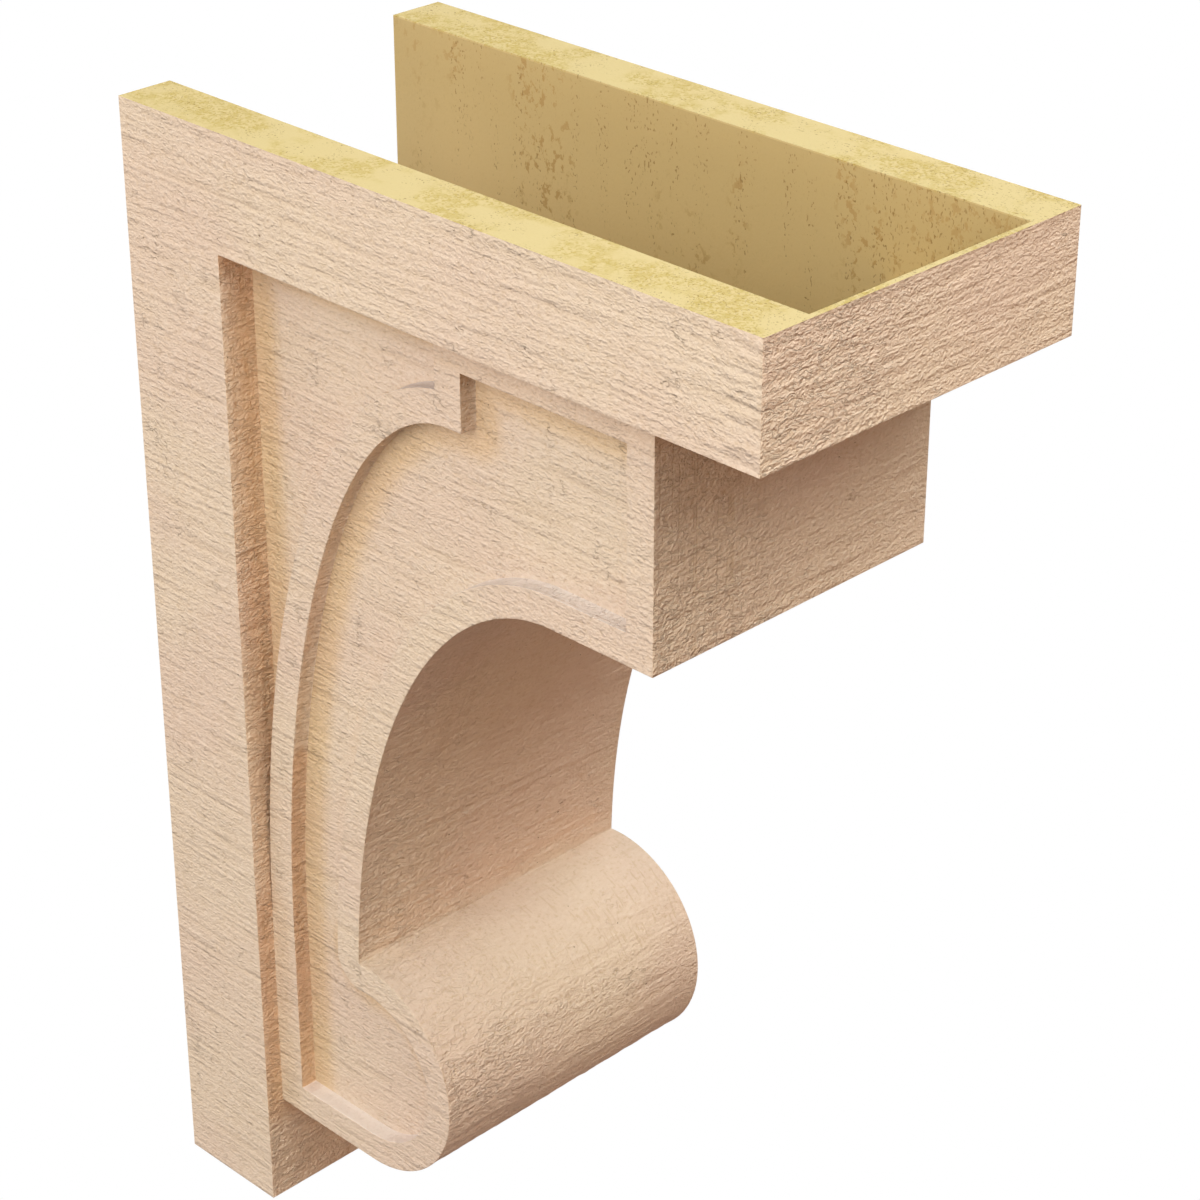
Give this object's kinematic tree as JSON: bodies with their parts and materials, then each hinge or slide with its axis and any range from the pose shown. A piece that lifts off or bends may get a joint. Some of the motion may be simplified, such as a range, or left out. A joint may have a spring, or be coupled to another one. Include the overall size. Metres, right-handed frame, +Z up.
{
  "type": "urethane corbel",
  "caption": "Hollow moulded urethane corbel: square leg and top bar, block, arched underside and round roll, sunk side fields, open back and top.",
  "frame": {"origin": "middle of the foot's back face, on the wall plane, 11.45 mm above the corbel's lowest edge and in its middle plane", "axes": "+X out from the wall along the projection, +Y across the width, +Z up"},
  "size_m": [0.3048, 0.1524, 0.4572],
  "materials": {
    "primed_urethane": "matte tan primer over a moulded rough-sawn wood grain",
    "bare_foam": "bare yellow urethane foam, matte and mottled, on the rims and in the hollow"
  },
  "bodies": {
    "root": {"corbel": "primed_urethane"}
  },
  "joints": []
}
